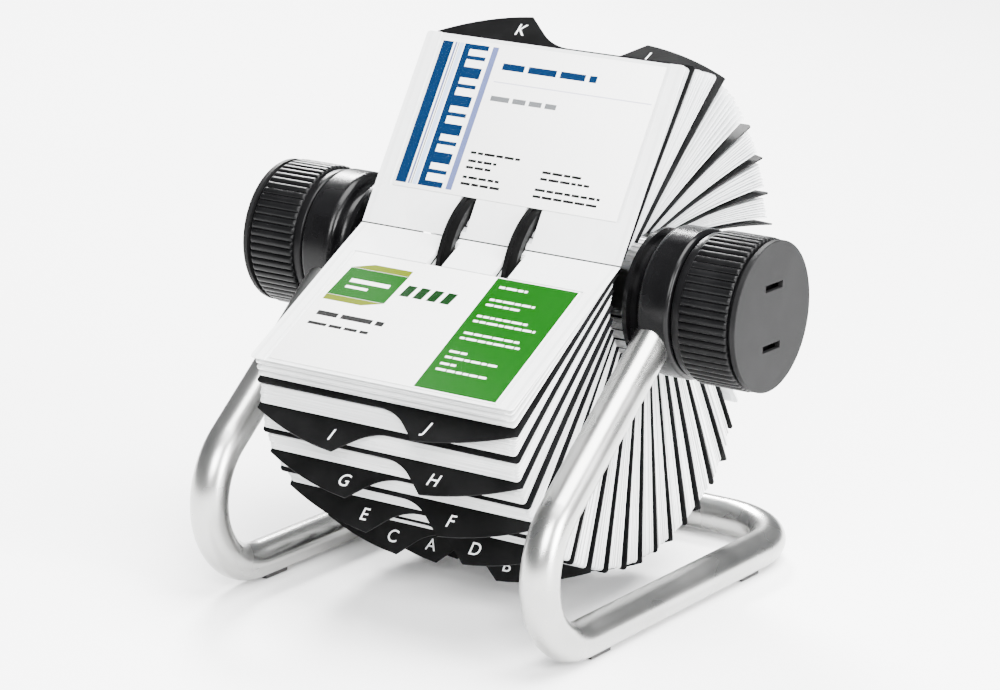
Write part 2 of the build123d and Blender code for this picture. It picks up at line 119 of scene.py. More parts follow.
# --- Camera, from the perspective of the object's own outlines ----------------------------------
CAMERA_PLACE = (0.6051, -0.9492, 0.3789)
CAMERA_TARGET = (-0.0066, -0.0010, 0.0820)
CAMERA_ROLL = 1.75
CAMERA_LENS = 121.79


# --- Materials ---------------------------------------------------------------------------------
def new_material(name):
    made = bpy.data.materials.new(name)
    made.use_nodes = True
    tree = made.node_tree
    shader = tree.nodes["Principled BSDF"]
    return made, tree, shader


def noise(tree, scale, detail=4.0, roughness=0.55, stretch=None):
    """A noise over the object's own coordinates, in waves per metre."""
    where = tree.nodes.new("ShaderNodeTexCoord").outputs["Object"]
    if stretch:
        mapping = tree.nodes.new("ShaderNodeMapping")
        mapping.inputs["Scale"].default_value = stretch
        tree.links.new(where, mapping.inputs["Vector"])
        where = mapping.outputs["Vector"]
    made = tree.nodes.new("ShaderNodeTexNoise")
    made.inputs["Scale"].default_value = scale
    made.inputs["Detail"].default_value = detail
    made.inputs["Roughness"].default_value = roughness
    tree.links.new(where, made.inputs["Vector"])
    return made.outputs["Fac"]


def span(tree, value, low, high, start=0.3, end=0.7):
    """value from start to end becomes low to high."""
    made = tree.nodes.new("ShaderNodeMapRange")
    for socket, number in (("From Min", start), ("From Max", end), ("To Min", low), ("To Max", high)):
        made.inputs[socket].default_value = number
    tree.links.new(value, made.inputs["Value"])
    return made.outputs["Result"]


def mix(tree, share, first, second):
    made = tree.nodes.new("ShaderNodeMix")
    made.data_type = "RGBA"
    sockets = [s for s in made.inputs if s.enabled]
    for socket, value in zip(sockets, (share, first, second)):
        if isinstance(value, bpy.types.NodeSocket):
            tree.links.new(value, socket)
        else:
            socket.default_value = value
    return next(s for s in made.outputs if s.enabled)


def bump(tree, shader, height, distance, strength=1.0):
    made = tree.nodes.new("ShaderNodeBump")
    made.inputs["Distance"].default_value = distance
    made.inputs["Strength"].default_value = strength
    tree.links.new(height, made.inputs["Height"])
    before = shader.inputs["Normal"].links
    if before:
        tree.links.new(before[0].from_socket, made.inputs["Normal"])
    tree.links.new(made.outputs["Normal"], shader.inputs["Normal"])


def colour(*rgb):
    return (*rgb, 1.0)


def scaled(base, factor):
    return colour(*(c * factor for c in base[:3]))


def moulded(name, base, worn, roughness, grain, depth, spread=0.08, metal=0.0,
            large=60.0, stretch=None, gloss=0.5):
    """A surface with fine grain, soft patches of wear, and roughness that varies with the patches."""
    made, tree, shader = new_material(name)
    fine = noise(tree, grain, 6.0, stretch=stretch)
    broad = noise(tree, large, 3.0)
    shade = mix(tree, span(tree, broad, 0.0, 1.0, 0.42, 0.78), base, worn)
    tree.links.new(shade, shader.inputs["Base Color"])
    tree.links.new(span(tree, broad, roughness - spread, roughness + spread), shader.inputs["Roughness"])
    shader.inputs["Metallic"].default_value = metal
    shader.inputs["Specular IOR Level"].default_value = gloss
    bump(tree, shader, fine, depth)
    return made


def film(name, base, alpha, roughness):
    """Sleeve foil: milky and slightly rippled, with a weld line along its sides."""
    made, tree, shader = new_material(name)
    tone = tree.nodes.new("ShaderNodeAttribute")
    tone.attribute_name = "tone"
    haze = noise(tree, 90.0, 3.0)
    shade = mix(tree, tone.outputs["Fac"], base, scaled(base, SHEET_SHADE))
    clouded = mix(tree, span(tree, haze, 0.0, 0.35), shade, scaled(base, HAZE_SHADE))
    place = tree.nodes.new("ShaderNodeUVMap")
    place.uv_map = "leaf"
    apart = tree.nodes.new("ShaderNodeSeparateXYZ")
    tree.links.new(place.outputs["UV"], apart.inputs["Vector"])
    weld = tree.nodes.new("ShaderNodeMath")
    weld.operation = "COMPARE"
    weld.inputs[1].default_value = WELD_X / UV_SCALE
    weld.inputs[2].default_value = WELD_HALF / UV_SCALE
    tree.links.new(apart.outputs["X"], weld.inputs[0])
    shade = mix(tree, weld.outputs["Value"], clouded, scaled(base, WELD_SHADE))
    tree.links.new(shade, shader.inputs["Base Color"])
    tree.links.new(span(tree, haze, roughness - 0.06, roughness + 0.08), shader.inputs["Roughness"])
    shader.inputs["Alpha"].default_value = alpha
    shader.inputs["Specular IOR Level"].default_value = 0.4
    bump(tree, shader, weld.outputs["Value"], 0.0001, 0.6)
    bump(tree, shader, noise(tree, 45.0, 2.0), 0.0012, 0.6)
    bump(tree, shader, noise(tree, 2600.0, 4.0), 0.00001, 0.8)
    return made


def board(name, base, roughness):
    """Card or print on card: short paper fibres under the colour."""
    made, tree, shader = new_material(name)
    fibre = noise(tree, 1400.0, 8.0, 0.7)
    darker = scaled(base, FIBRE_SHADE)
    tree.links.new(mix(tree, span(tree, fibre, 0.0, 1.0), base, darker), shader.inputs["Base Color"])
    tree.links.new(span(tree, fibre, roughness - 0.08, roughness + 0.08), shader.inputs["Roughness"])
    bump(tree, shader, fibre, 0.00002, 0.7)
    shader.inputs["Specular IOR Level"].default_value = 0.04
    return made


BLACK = moulded("moulded_black", colour(0.002, 0.002, 0.0022), colour(0.004, 0.004, 0.0043), 0.26,
                2400.0, 0.00001, gloss=0.13)
KNOB_BLACK = moulded("ribbed_black", colour(0.002, 0.002, 0.0022), colour(0.004, 0.004, 0.0043), 0.33,
                     2800.0, 0.000015, gloss=0.1)
RING_BLACK = moulded("ring_black", colour(0.002, 0.002, 0.002), colour(0.004, 0.004, 0.004), 0.3,
                     1800.0, 0.00001, gloss=0.12)
CAP_GREY = moulded("cap_satin", colour(0.007, 0.007, 0.0072), colour(0.013, 0.013, 0.0133), 0.5,
                   3000.0, 0.000006, spread=0.05, gloss=0.05)
TUBE_SILVER = moulded("tube_satin", colour(0.38, 0.38, 0.37), colour(0.46, 0.46, 0.45), 0.27,
                      2200.0, 0.000012, spread=0.05, metal=1.0, large=25.0)
STEEL = moulded("turned_steel", colour(0.50, 0.49, 0.47), colour(0.60, 0.59, 0.57), 0.28,
                900.0, 0.00002, metal=1.0, stretch=(12.0, 1.0, 1.0))
ACETAL = moulded("bush_acetal", colour(0.62, 0.60, 0.54), colour(0.50, 0.48, 0.43), 0.42, 1600.0, 0.00002)
RUBBER = moulded("foot_rubber_black", colour(0.018, 0.018, 0.018), colour(0.045, 0.044, 0.042), 0.78,
                 1500.0, 0.00009)
CHARCOAL = moulded("index_charcoal", colour(0.003, 0.0031, 0.0032), colour(0.006, 0.0061, 0.0063), 0.5,
                   2100.0, 0.00003, gloss=0.06)
LETTER_WHITE = board("letter_white", colour(0.86, 0.87, 0.87), 0.5)
FILM_WHITE = film("film_white", colour(0.83, 0.84, 0.84), 1.0, 0.30)
FILM_MILKY = film("film_milky", colour(0.84, 0.86, 0.87), 0.62, 0.24)
FILM_CLEAR = film("film_clear", colour(0.06, 0.062, 0.062), 0.02, 0.12)
CARD_WHITE = board("card_white", colour(0.88, 0.88, 0.87), 0.42)
INKS = {
    "blue": board("print_blue", colour(0.0, 0.012, 0.045), 0.5),
    "violet": board("print_violet", colour(0.08, 0.10, 0.22), 0.4),
    "pale": board("print_pale_blue", colour(0.42, 0.52, 0.70), 0.4),
    "dark": board("print_dark", colour(0.004, 0.004, 0.004), 0.5),
    "grey": board("print_grey", colour(0.10, 0.105, 0.11), 0.5),
    "line": board("print_rule", colour(0.47, 0.46, 0.56), 0.45),
    "green": board("print_green", colour(0.0, 0.052, 0.0), 0.5),
    "lime": board("print_lime", colour(0.085, 0.11, 0.0), 0.5),
    "forest": board("print_forest", colour(0.0, 0.018, 0.001), 0.5),
    "white": board("print_white", colour(0.86, 0.87, 0.86), 0.45),
}


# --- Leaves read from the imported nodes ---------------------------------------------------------
def solids_of(node):
    """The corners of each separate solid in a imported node."""
    mesh = NODES[node].data
    numbers, places = {}, []
    index = []
    for vertex in mesh.vertices:
        key = tuple(round(c * 1e6) for c in vertex.co)
        if key not in numbers:
            numbers[key] = len(numbers)
            places.append(vertex.co.copy())
        index.append(numbers[key])
    head = list(range(len(places)))

    def find(item):
        while head[item] != item:
            head[item] = head[head[item]]
            item = head[item]
        return item

    for polygon in mesh.polygons:
        first = find(index[polygon.vertices[0]])
        for corner in polygon.vertices[1:]:
            head[find(index[corner])] = first
    groups = {}
    for item, place in enumerate(places):
        groups.setdefault(find(item), []).append(place)
    return list(groups.values())


AXLE = sum(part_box("axle"), Vector()) / 2


def read_leaf(node, points):
    """Where a leaf stands: root edge, direction and normal."""
    centre = sum(points, Vector()) / len(points)
    yy = sum((p.y - centre.y) ** 2 for p in points)
    zz = sum((p.z - centre.z) ** 2 for p in points)
    yz = sum((p.y - centre.y) * (p.z - centre.z) for p in points)
    angle = math.atan2(2 * yz, yy - zz) / 2
    along = Vector((0, math.cos(angle), math.sin(angle)))
    centre.x = 0
    spans = [(p - centre).dot(along) for p in points]
    ends = [centre + along * min(spans), centre + along * max(spans)]
    away = [math.hypot(e.y - AXLE.y, e.z - AXLE.z) for e in ends]
    if away[0] > away[1]:
        ends.reverse()
        along = -along
    root = ends[0]
    turn = math.degrees(math.atan2(root.z - AXLE.z, AXLE.y - root.y))
    return {"node": node, "root": root, "along": along, "normal": Vector((0, -along.z, along.y)),
            "turn": turn}


def read_leaves():
    """Every leaf in the order of the stack, from the open upper sleeve to the open lower one."""
    found = []
    for node in NODES:
        if "sleeve" in node or node.startswith("divider"):
            found += [read_leaf(node, points) for points in solids_of(node)]
    start = next(leaf["turn"] for leaf in found if leaf["node"] == "upper_open_sleeve") - 0.4
    found.sort(key=lambda leaf: (leaf["turn"] - start) % 360)
    count = len(found)
    for place, leaf in enumerate(found):
        ends = min(place, count - 1 - place)
        loose = min(1.0, ends / LOOSE_AFTER)
        leaf["sag"] = SAG * loose * leaf["along"].y
        uneven = min(1.0, ends / UNEVEN_AFTER)
        leaf["near"] = [found[n] for n in (place - 1, place + 1) if 0 <= n < count]
        leaf["shift"] = random.uniform(-0.35, 0.35) * uneven
        leaf["slide"] = random.uniform(-0.22, 0.22) * uneven
        leaf["tone"] = random.uniform(0.0, 1.0)
        leaf["curl"] = random.uniform(-1.0, 1.0) * loose
    return found


def pitch(leaf, v):
    """Distance to the nearer neighbour, in millimetres, v from the root edge."""
    point = leaf["root"] + leaf["along"] * v * MM
    return min(abs((point - n["root"]).dot(n["normal"])) for n in leaf["near"]) / MM


def at(leaf, x, v, w):
    """A point of a leaf, in metres, with the leaf's bow and its place in the stack."""
    share = max(0.0, v / LEAF_LENGTH)
    shift = (0.09 * leaf["curl"] * share * share + leaf["bunch"] * share) * leaf["room"]
    bow = leaf["sag"] * 4 * share * (1 - share)
    out = leaf["root"] + leaf["along"] * (v + leaf["slide"]) * MM
    out = out + leaf["normal"] * (w + bow + shift) * MM
    return out + Vector(((x + leaf["shift"]) * MM, 0, 0))


# --- Sheet meshes ------------------------------------------------------------------------------
def rounded_corner(x, v):
    """Moves a grid point of the square outline so that the outer corners are round."""
    a = (abs(x) - HALF_WIDTH + CORNER) / CORNER
    b = (v - LEAF_LENGTH + CORNER) / CORNER
    if a <= 0 or b <= 0:
        return x, v
    moved = a * math.sqrt(1 - b * b / 2), b * math.sqrt(1 - a * a / 2)
    return (math.copysign(HALF_WIDTH - CORNER + CORNER * moved[0], x),
            LEAF_LENGTH - CORNER + CORNER * moved[1])


def in_keyhole(x, v):
    off = abs(abs(x) - RING_X)
    return off < NECK_HALF and v < NECK_LENGTH or off < SLOT_HALF and NECK_LENGTH < v < SLOT_END


SIDE_COLUMNS = [0.0, 5.0, RING_X - SLOT_HALF, RING_X - NECK_HALF, RING_X + NECK_HALF,
                RING_X + SLOT_HALF, 30.0, 42.0, MOUTH_HALF, HALF_WIDTH - CORNER, 51.2, 51.7, HALF_WIDTH]
COLUMNS = sorted({-x for x in SIDE_COLUMNS} | set(SIDE_COLUMNS))
ROWS = [0.0, NECK_LENGTH, SLOT_END, 27.0, 39.0, 50.0, 60.0, 67.0, LEAF_LENGTH - CORNER, 71.2, 71.7,
        LEAF_LENGTH]


def shell(bm, columns, rows, kept, place, thickness, write, mouth=None, material=0):
    """A closed sheet over the kept cells of a grid. mouth(x) is half of the opening at the outer edge."""
    made = {}
    uv = bm.loops.layers.uv["leaf"]
    tone = bm.loops.layers.float["tone"]
    known = {}

    def corner(i, j, side):
        if (i, j, side) not in made:
            x, v = place(columns[i], rows[j])
            made[i, j, side] = bm.verts.new(write(x, v, side * thickness(x, v)))
            known[made[i, j, side]] = (x, v)
        return made[i, j, side]

    def inner(i, depth, side):
        """A corner of the pocket's opening, at the outer edge or deep inside."""
        key = (i, "mouth", depth, side)
        if key not in made:
            x, v = place(columns[i], rows[-1])
            gap = mouth(x)
            if gap <= 0:
                key = (i, "mouth", depth, 0)
            if key not in made:
                made[key] = bm.verts.new(write(x, v - depth, side * gap))
                known[made[key]] = (x, v)
        return made[key]

    def face(corners):
        unique = list(dict.fromkeys(corners))
        if len(unique) > 2:
            made_face = bm.faces.new(unique)
            made_face.material_index = material
            made_face.smooth = True
            for loop in made_face.loops:
                x, v = known[loop.vert]
                loop[uv].uv = (abs(x) / UV_SCALE, v / UV_SCALE)
                loop[tone] = write.tone

    def opening(i):
        return mouth and abs(columns[i]) <= MOUTH_HALF

    last = len(rows) - 1
    cells = {(i, j) for i in range(len(columns) - 1) for j in range(last) if kept(i, j)}
    for i, j in sorted(cells):
        a, b, c, d = (i, j), (i + 1, j), (i + 1, j + 1), (i, j + 1)
        face([corner(*p, 1) for p in (a, b, c, d)])
        face([corner(*p, -1) for p in (d, c, b, a)])
        walls = ((a, b, (i, j - 1)), (b, c, (i + 1, j)), (c, d, (i, j + 1)), (d, a, (i - 1, j)))
        for p, q, beside in walls:
            if beside in cells:
                continue
            if p[1] == q[1] == last and opening(p[0]) and opening(q[0]):
                left, right = q[0], p[0]
                for side in (1, -1):
                    lip = [corner(right, last, side), corner(left, last, side),
                           inner(left, 0, side), inner(right, 0, side)]
                    wall = [inner(right, 0, side), inner(left, 0, side),
                            inner(left, MOUTH_DEPTH, side), inner(right, MOUTH_DEPTH, side)]
                    face(lip if side < 0 else lip[::-1])
                    face(wall if side < 0 else wall[::-1])
                face([inner(right, MOUTH_DEPTH, -1), inner(left, MOUTH_DEPTH, -1),
                      inner(left, MOUTH_DEPTH, 1), inner(right, MOUTH_DEPTH, 1)])
                continue
            ring = [corner(*p, -1), corner(*q, -1)]
            if q[1] == last and opening(q[0]) and p[1] == last:
                ring += [inner(q[0], 0, -1), inner(q[0], 0, 1)]
            ring += [corner(*q, 1), corner(*p, 1)]
            if p[1] == last and opening(p[0]) and q[1] == last:
                ring += [inner(p[0], 0, 1), inner(p[0], 0, -1)]
            face(ring)


def new_sheet():
    bm = bmesh.new()
    bm.loops.layers.uv.new("leaf")
    bm.loops.layers.float.new("tone")
    return bm


def finish_mesh(bm, name, materials, node, body=None):
    """Turns a bmesh into a piece that rides on its node's body and stands for that node."""
    mesh = bpy.data.meshes.new(name)
    bm.to_mesh(mesh)
    bm.free()
    for item in materials:
        mesh.materials.append(item)
    piece = bpy.data.objects.new(name, mesh)
    bpy.context.scene.collection.objects.link(piece)
    mesh.set_sharp_from_angle(angle=math.radians(40))
    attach(piece, body or BODY_OF[node])
    if body is None:
        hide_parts(node)


def writer(leaf):
    """at() for one leaf, with the leaf's tone beside it."""
    def write(x, v, w):
        return at(leaf, x, v, w)
    write.tone = leaf["tone"]
    return write


def sleeve_sheet(bm, leaf):
    """One closed sleeve: thin welded sides, a little air in the middle, open at its outer edge."""
    pitches = [pitch(leaf, v) for v in (0.0, LEAF_LENGTH)]

    def half(x, v):
        room = pitches[0] + (pitches[1] - pitches[0]) * v / LEAF_LENGTH
        edge = min(0.26, 0.24 * room)
        middle = min(0.46, 0.30 * room)
        lens = math.sqrt(max(0.0, 1 - (x / HALF_WIDTH) ** 2))
        filled = min(1.0, max(0.0, (v - SLOT_END) / 30))
        return max(0.07, edge + (middle - edge) * lens * filled)

    def mouth(x):
        gap = half(x, LEAF_LENGTH) - FOIL
        return gap if abs(x) < MOUTH_HALF and gap > 0.03 else 0.0

    def kept(i, j):
        return not in_keyhole((COLUMNS[i] + COLUMNS[i + 1]) / 2, (ROWS[j] + ROWS[j + 1]) / 2)

    def place(x, v):
        x, v = rounded_corner(x, v)
        outer = max(0.0, (abs(x) - 30) / (HALF_WIDTH - 30))
        inset = max(0.0, (v - SLOT_END) / (LEAF_LENGTH - SLOT_END))
        return x - math.copysign(SLEEVE_INSET * outer, x), v - SLEEVE_INSET * inset

    shell(bm, COLUMNS, ROWS, kept, place, half, writer(leaf), mouth)


def tab_top(x):
    """Height of the fin-shaped tab, x counted towards its own side."""
    if TAB_FOOT < x <= TAB_TURN[0]:
        run, rise = TAB_TURN[0] - TAB_FOOT, TAB_TURN[1]
        bend = (run * run + rise * rise) / (2 * rise)
        return bend - math.sqrt(bend * bend - (x - TAB_FOOT) ** 2)
    if TAB_TURN[0] < x <= TAB_PEAK:
        share = (x - TAB_TURN[0]) / (TAB_PEAK - TAB_TURN[0])
        return TAB_TURN[1] + (TAB_HEIGHT - TAB_TURN[1]) * share
    if TAB_PEAK < x < HALF_WIDTH:
        share = (x - TAB_PEAK) / (HALF_WIDTH - TAB_PEAK)
        return TAB_HEIGHT * (1 - share) + TAB_BULGE * 4 * share * (1 - share)
    return 0.0


def divider_sheet(bm, leaf, side):
    """A charcoal sheet with its tab."""
    extra = [TAB_FOOT + 1.5 * n for n in range(1, 9)] + [14.0, TAB_PEAK, 22.0, 25.5, 34.0, 38.0, 46.0]
    columns = sorted({*COLUMNS, *(side * x for x in extra), side * TAB_FOOT})
    tab_rows = [LEAF_LENGTH + n for n in (1, 2, 3, 4)]
    rows = ROWS + tab_rows
    steps = len(tab_rows)
    base = len(ROWS) - 1

    def place(x, v):
        if v <= LEAF_LENGTH:
            return rounded_corner(x, v) if side * x < 0 else (x, v)
        return x, LEAF_LENGTH + tab_top(side * x) * (v - LEAF_LENGTH) / steps

    def kept(i, j):
        middle = (columns[i] + columns[i + 1]) / 2
        if j >= base:
            return tab_top(side * middle) > 0
        return not in_keyhole(middle, (rows[j] + rows[j + 1]) / 2)

    before = len(bm.verts)
    pitches = [pitch(leaf, v) for v in (0.0, LEAF_LENGTH)]

    def half(x, v):
        room = pitches[0] + (pitches[1] - pitches[0]) * v / LEAF_LENGTH
        return max(DIVIDER_HALF[0], min(DIVIDER_HALF[1], 0.3 * room))

    shell(bm, columns, rows, kept, place, half, writer(leaf))
    fresh = list(bm.verts)[before:]
    bmesh.ops.remove_doubles(bm, verts=fresh, dist=1e-7)


# --- Print and letters -------------------------------------------------------------------------
def patch(bm, leaf, outline, level, side, material, thick=INK):
    """A thin closed patch of ink on one face of a leaf, from its outline in (x, v)."""
    write = writer(leaf)
    uv = bm.loops.layers.uv["leaf"]
    tone = bm.loops.layers.float["tone"]
    low = [bm.verts.new(write(x, v, side * level)) for x, v in outline]
    high = [bm.verts.new(write(x, v, side * (level + thick))) for x, v in outline]
    area = sum(outline[n - 1][0] * outline[n][1] - outline[n][0] * outline[n - 1][1]
               for n in range(len(outline)))
    if (area > 0) != (side > 0):
        low.reverse()
        high.reverse()
    faces = [high, low[::-1]]
    for n in range(len(low)):
        faces.append([low[n - 1], low[n], high[n], high[n - 1]])
    for corners in faces:
        made = bm.faces.new(corners)
        made.material_index = material
        for loop in made.loops:
            loop[uv].uv = (0.5, 0.5)
            loop[tone] = 0.0


def bar(x0, x1, v0, v1, slant=0.0):
    return [(x0, v0), (x1, v0), (x1 + slant, v1), (x0 + slant, v1)]


def letter_mesh(text, size):
    """The flat outline of a slanted capital, filled with triangles, in millimetres."""
    curve = bpy.data.curves.new(f"letter_{text}", "FONT")
    curve.body = text
    curve.size = size
    curve.shear = 0.2
    curve.align_x = "CENTER"
    curve.align_y = "CENTER"
    holder = bpy.data.objects.new("letter", curve)
    bpy.context.scene.collection.objects.link(holder)
    bpy.context.view_layer.update()
    mesh = bpy.data.meshes.new_from_object(holder)
    points = [(v.co.x, v.co.y) for v in mesh.vertices]
    triangles = [tuple(p.vertices) for p in mesh.polygons]
    bpy.data.objects.remove(holder)
    bpy.data.meshes.remove(mesh)
    return points, triangles


def letter_on(bm, leaf, text, centre_x, centre_v, side):
    """A closed raised letter on one face of a tab. It reads upright where that face is seen."""
    size = 6.2 if len(text) == 1 else 4.6
    points, triangles = letter_mesh(text, size)
    uv = bm.loops.layers.uv["leaf"]
    write = writer(leaf)
    layers = []
    for height in (LETTER_LEVEL, LETTER_LEVEL + LETTER_THICK):
        layers.append([bm.verts.new(write(centre_x + x, centre_v + side * y, side * height))
                       for x, y in points])
    edges = {}
    faces = []
    for triangle in triangles:
        area = 0.0
        for n in range(len(triangle)):
            (x0, y0), (x1, y1) = points[triangle[n - 1]], points[triangle[n]]
            area += x0 * y1 - x1 * y0
        turned = triangle if area > 0 else triangle[::-1]
        faces.append([layers[1][n] for n in turned])
        faces.append([layers[0][n] for n in turned[::-1]])
        for n in range(len(turned)):
            edges[turned[n - 1], turned[n]] = True
    for a, b in edges:
        if (b, a) not in edges:
            faces.append([layers[0][a], layers[0][b], layers[1][b], layers[1][a]])
    for corners in faces:
        made = bm.faces.new(corners)
        made.material_index = 1
        for loop in made.loops:
            loop[uv].uv = (0.5, 0.5)


def words(x0, x1, v, height, dice, word=(1.6, 4.2), space=0.55):
    """A line of plain bars the size of words."""
    made = []
    x = x0
    while x < x1 - 0.8:
        end = min(x1, x + dice.uniform(*word))
        made.append(bar(x, end, v, v + height))
        x = end + space
    return made


def upper_print():
    """Generic print for the upper card, in (ink, outline) pairs. It reads towards the outer edge."""
    dice = random.Random(3)
    low, high = CARD_START + 1.4, CARD_START + CARD_LENGTH - 1.4
    made = [("blue", bar(-44.4, -40.0, low, high)), ("violet", bar(-39.2, -38.5, low, high)),
            ("dark", bar(-38.0, -37.7, low, high)), ("pale", bar(-37.3, -35.6, low, high)),
            ("blue", bar(-35.2, -25.2, low, high)), ("violet", bar(-23.6, -21.2, low, high))]
    step = (high - low) / 5
    for n in range(5):
        v = low + step * (n + 0.2)
        made.append(("white", bar(-32.6, -25.2, v, v + step * 0.26)))
        made.append(("white", bar(-32.6, -25.2, v + step * 0.4, v + step * 0.62)))
    made += [("blue", o) for o in words(-17.5, 20.5, 61.4, 2.5, dice, (7.0, 15.0), 1.6)]
    made.append(("line", bar(-19.0, 44.0, 56.6, 57.0)))
    made += [("grey", o) for o in words(-18.0, 8.5, 49.8, 1.9, dice, (5.0, 9.0), 1.4)]
    rows = ((30.0, -18.5, 1.5), (27.0, -18.5, -7.0), (24.6, -18.5, -8.5), (21.0, -18.5, -3.0),
            (18.6, -18.5, -2.0), (27.0, 11.5, 27.0), (24.6, 11.5, 32.0), (20.6, 10.8, 36.5),
            (18.2, 10.8, 36.0))
    for v, x0, x1 in rows:
        made += [("dark", o) for o in words(x0, x1, v, 0.95, dice)]
    return made


def lower_print():
    """Generic print for the lower card. It reads towards the root edge."""
    dice = random.Random(8)
    made = [("green", bar(13.0, 44.6, CARD_START + 0.4, CARD_START + CARD_LENGTH - 0.4))]
    made += [("white_on", o) for o in words(16.0, 27.0, 18.6, 1.0, dice)]
    rows = ((25.0, 17.5), (27.6, 13.0), (33.4, 19.5), (36.0, 24.0), (42.0, 21.5), (44.6, 23.0),
            (51.4, 7.0), (54.2, 20.0), (57.4, 6.0), (60.2, 19.5))
    for v, length in rows:
        made += [("white_on", o) for o in words(16.0, 16.0 + length, v, 0.95, dice)]
    made.append(("green", bar(-42.0, -18.5, 22.4, 36.6, -1.2)))
    made.append(("lime", [(-42.0, 22.3), (-34.0, 19.4), (-18.5, 19.4), (-18.5, 22.3)]))
    made.append(("lime", [(-43.2, 36.7), (-19.7, 36.7), (-27.5, 39.4), (-43.2, 39.4)]))
    made.append(("white_on", bar(-38.5, -22.5, 27.6, 29.4)))
    made.append(("white_on", bar(-38.5, -29.5, 31.2, 32.4)))
    for n in range(4):
        x = -16.0 + 5.4 * n
        made.append(("forest", bar(x, x + 3.6, 26.0, 31.6, -0.9)))
    made += [("dark", o) for o in words(-41.0, -14.0, 45.0, 2.2, dice, (8.0, 13.0), 1.5)]
    made += [("dark", o) for o in words(-41.5, -17.0, 50.6, 1.4, dice, (4.0, 9.0), 1.1)]
    return made


def print_on(card, leaf, side, layout):
    """The card's print, as its own thin piece."""
    names = list(INKS)
    bm = new_sheet()
    for ink, outline in layout:
        over = ink == "white_on"
        material = names.index("white" if over else ink)
        raised = over or ink == "white"
        patch(bm, leaf, outline, CARD_TOP + (INK if raised else 0.0), side, material, INK * 0.8)
    finish_mesh(bm, f"{card}_print", list(INKS.values()), card, BODY_OF[card])


def open_sleeve(leaf, side):
    """An open sleeve: two foils over the pocket, welded along the sides, and one foil at the root."""
    write = writer(leaf)
    bm = new_sheet()
    floor = CARD_START - POCKET_FLOOR
    inside = CARD_HALF + POCKET_MARGIN
    columns = sorted({*COLUMNS, inside, -inside})
    rows = sorted({*ROWS, floor, floor - 0.5})

    def kept_frame(i, j):
        x, v = (columns[i] + columns[i + 1]) / 2, (rows[j] + rows[j + 1]) / 2
        return not in_keyhole(x, v) and not (abs(x) < inside and v > floor)

    def kept_foil(i, j):
        x, v = (columns[i] + columns[i + 1]) / 2, (rows[j] + rows[j + 1]) / 2
        return abs(x) < inside and v > floor and not in_keyhole(x, v)

    def frame_half(x, v):
        return 0.075 if v < floor - 1 else 0.24

    shell(bm, columns, rows, kept_frame, rounded_corner, frame_half, write)
    middle = (POCKET_TOP + CARD_TOP + 0.05) / 2
    for face_side, material in ((side, 1), (-side, 0)):
        def foil(x, v, w, level=face_side * middle):
            return write(x, v, w + level)
        foil.tone = write.tone
        shell(bm, columns, rows, kept_foil, lambda x, v: (x, v), lambda x, v: POCKET_FOIL, foil,
              material=material)
    # A raised weld round the pocket, on both faces.
    for face_side in (1, -1):
        for outline in (bar(inside + 0.3, inside + 0.9, floor, 71.0),
                        bar(-inside - 0.9, -inside - 0.3, floor, 71.0)):
            patch(bm, leaf, outline, 0.23, face_side, 0, 0.06)
    finish_mesh(bm, leaf["node"].replace("_open", "") + "_foils", [FILM_WHITE, FILM_CLEAR],
                leaf["node"])


def card_sheet(card, leaf):
    """The business card: a thin board with a slightly rounded edge."""
    bm = new_sheet()
    ends = [-CARD_HALF, -CARD_HALF + 0.1, CARD_HALF - 0.1, CARD_HALF]
    rows = [CARD_START, CARD_START + 0.1, CARD_START + CARD_LENGTH - 0.1, CARD_START + CARD_LENGTH]

    def half(x, v):
        edge = abs(x) > CARD_HALF - 0.05 or not rows[0] + 0.05 < v < rows[-1] - 0.05
        return CARD_TOP - 0.05 if edge else CARD_TOP

    shell(bm, ends, rows, lambda i, j: True, lambda x, v: (x, v), half, writer(leaf))
    finish_mesh(bm, f"{card}_board", [CARD_WHITE], card)


def stack_steps(leaves):
    """Each leaf's step from its divider, which is 0, or None outside a full group."""
    steps, step = [], None
    for place, leaf in enumerate(leaves):
        if leaf["node"].startswith("divider"):
            step = 0
        elif step is not None:
            step += 1
        full = step and place - step + SLEEVES_PER_GROUP < len(leaves) - 2
        steps.append(step if full else None)
    return steps


def build_leaves():
    leaves = read_leaves()
    for leaf in leaves:
        leaf["room"] = min(1.5, pitch(leaf, LEAF_LENGTH))
    for leaf, step in zip(leaves, stack_steps(leaves)):
        leaf["bunch"] = 0.0 if step is None else BUNCHING * (step - (SLEEVES_PER_GROUP + 1) / 2)
    upper, lower = leaves[0], leaves[-1]
    sheets = {}
    for leaf in leaves[1:-1]:
        node = leaf["node"]
        if node not in sheets:
            sheets[node] = new_sheet()
        if node.startswith("divider"):
            letters = node.split("_")[1]
            side = 1 if sum(p.x for p in solids_of(node)[0] if far_out(leaf, p)) > 0 else -1
            divider_sheet(sheets[node], leaf, side)
            offset = 19.5 if len(letters) == 1 else 21.5
            for face_side in (1, -1):
                letter_on(sheets[node], leaf, letters.upper(), side * offset,
                          LEAF_LENGTH + LETTER_RISE, face_side)
        else:
            sleeve_sheet(sheets[node], leaf)
    for node, bm in sheets.items():
        if node.startswith("divider"):
            finish_mesh(bm, node.replace("divider", "index_sheet"), [CHARCOAL, LETTER_WHITE], node)
        else:
            spread = node in ("sleeves_k_to_m", "sleeves_n_to_p") or "fanned" in node
            finish_mesh(bm, f"{node}_foils", [FILM_MILKY if spread else FILM_WHITE], node)
    for name, leaf, side, layout in (("upper_card", upper, 1, upper_print()),
                                     ("lower_card", lower, -1, lower_print())):
        open_sleeve(leaf, side)
        card_sheet(name, leaf)
        print_on(name, leaf, side, layout)


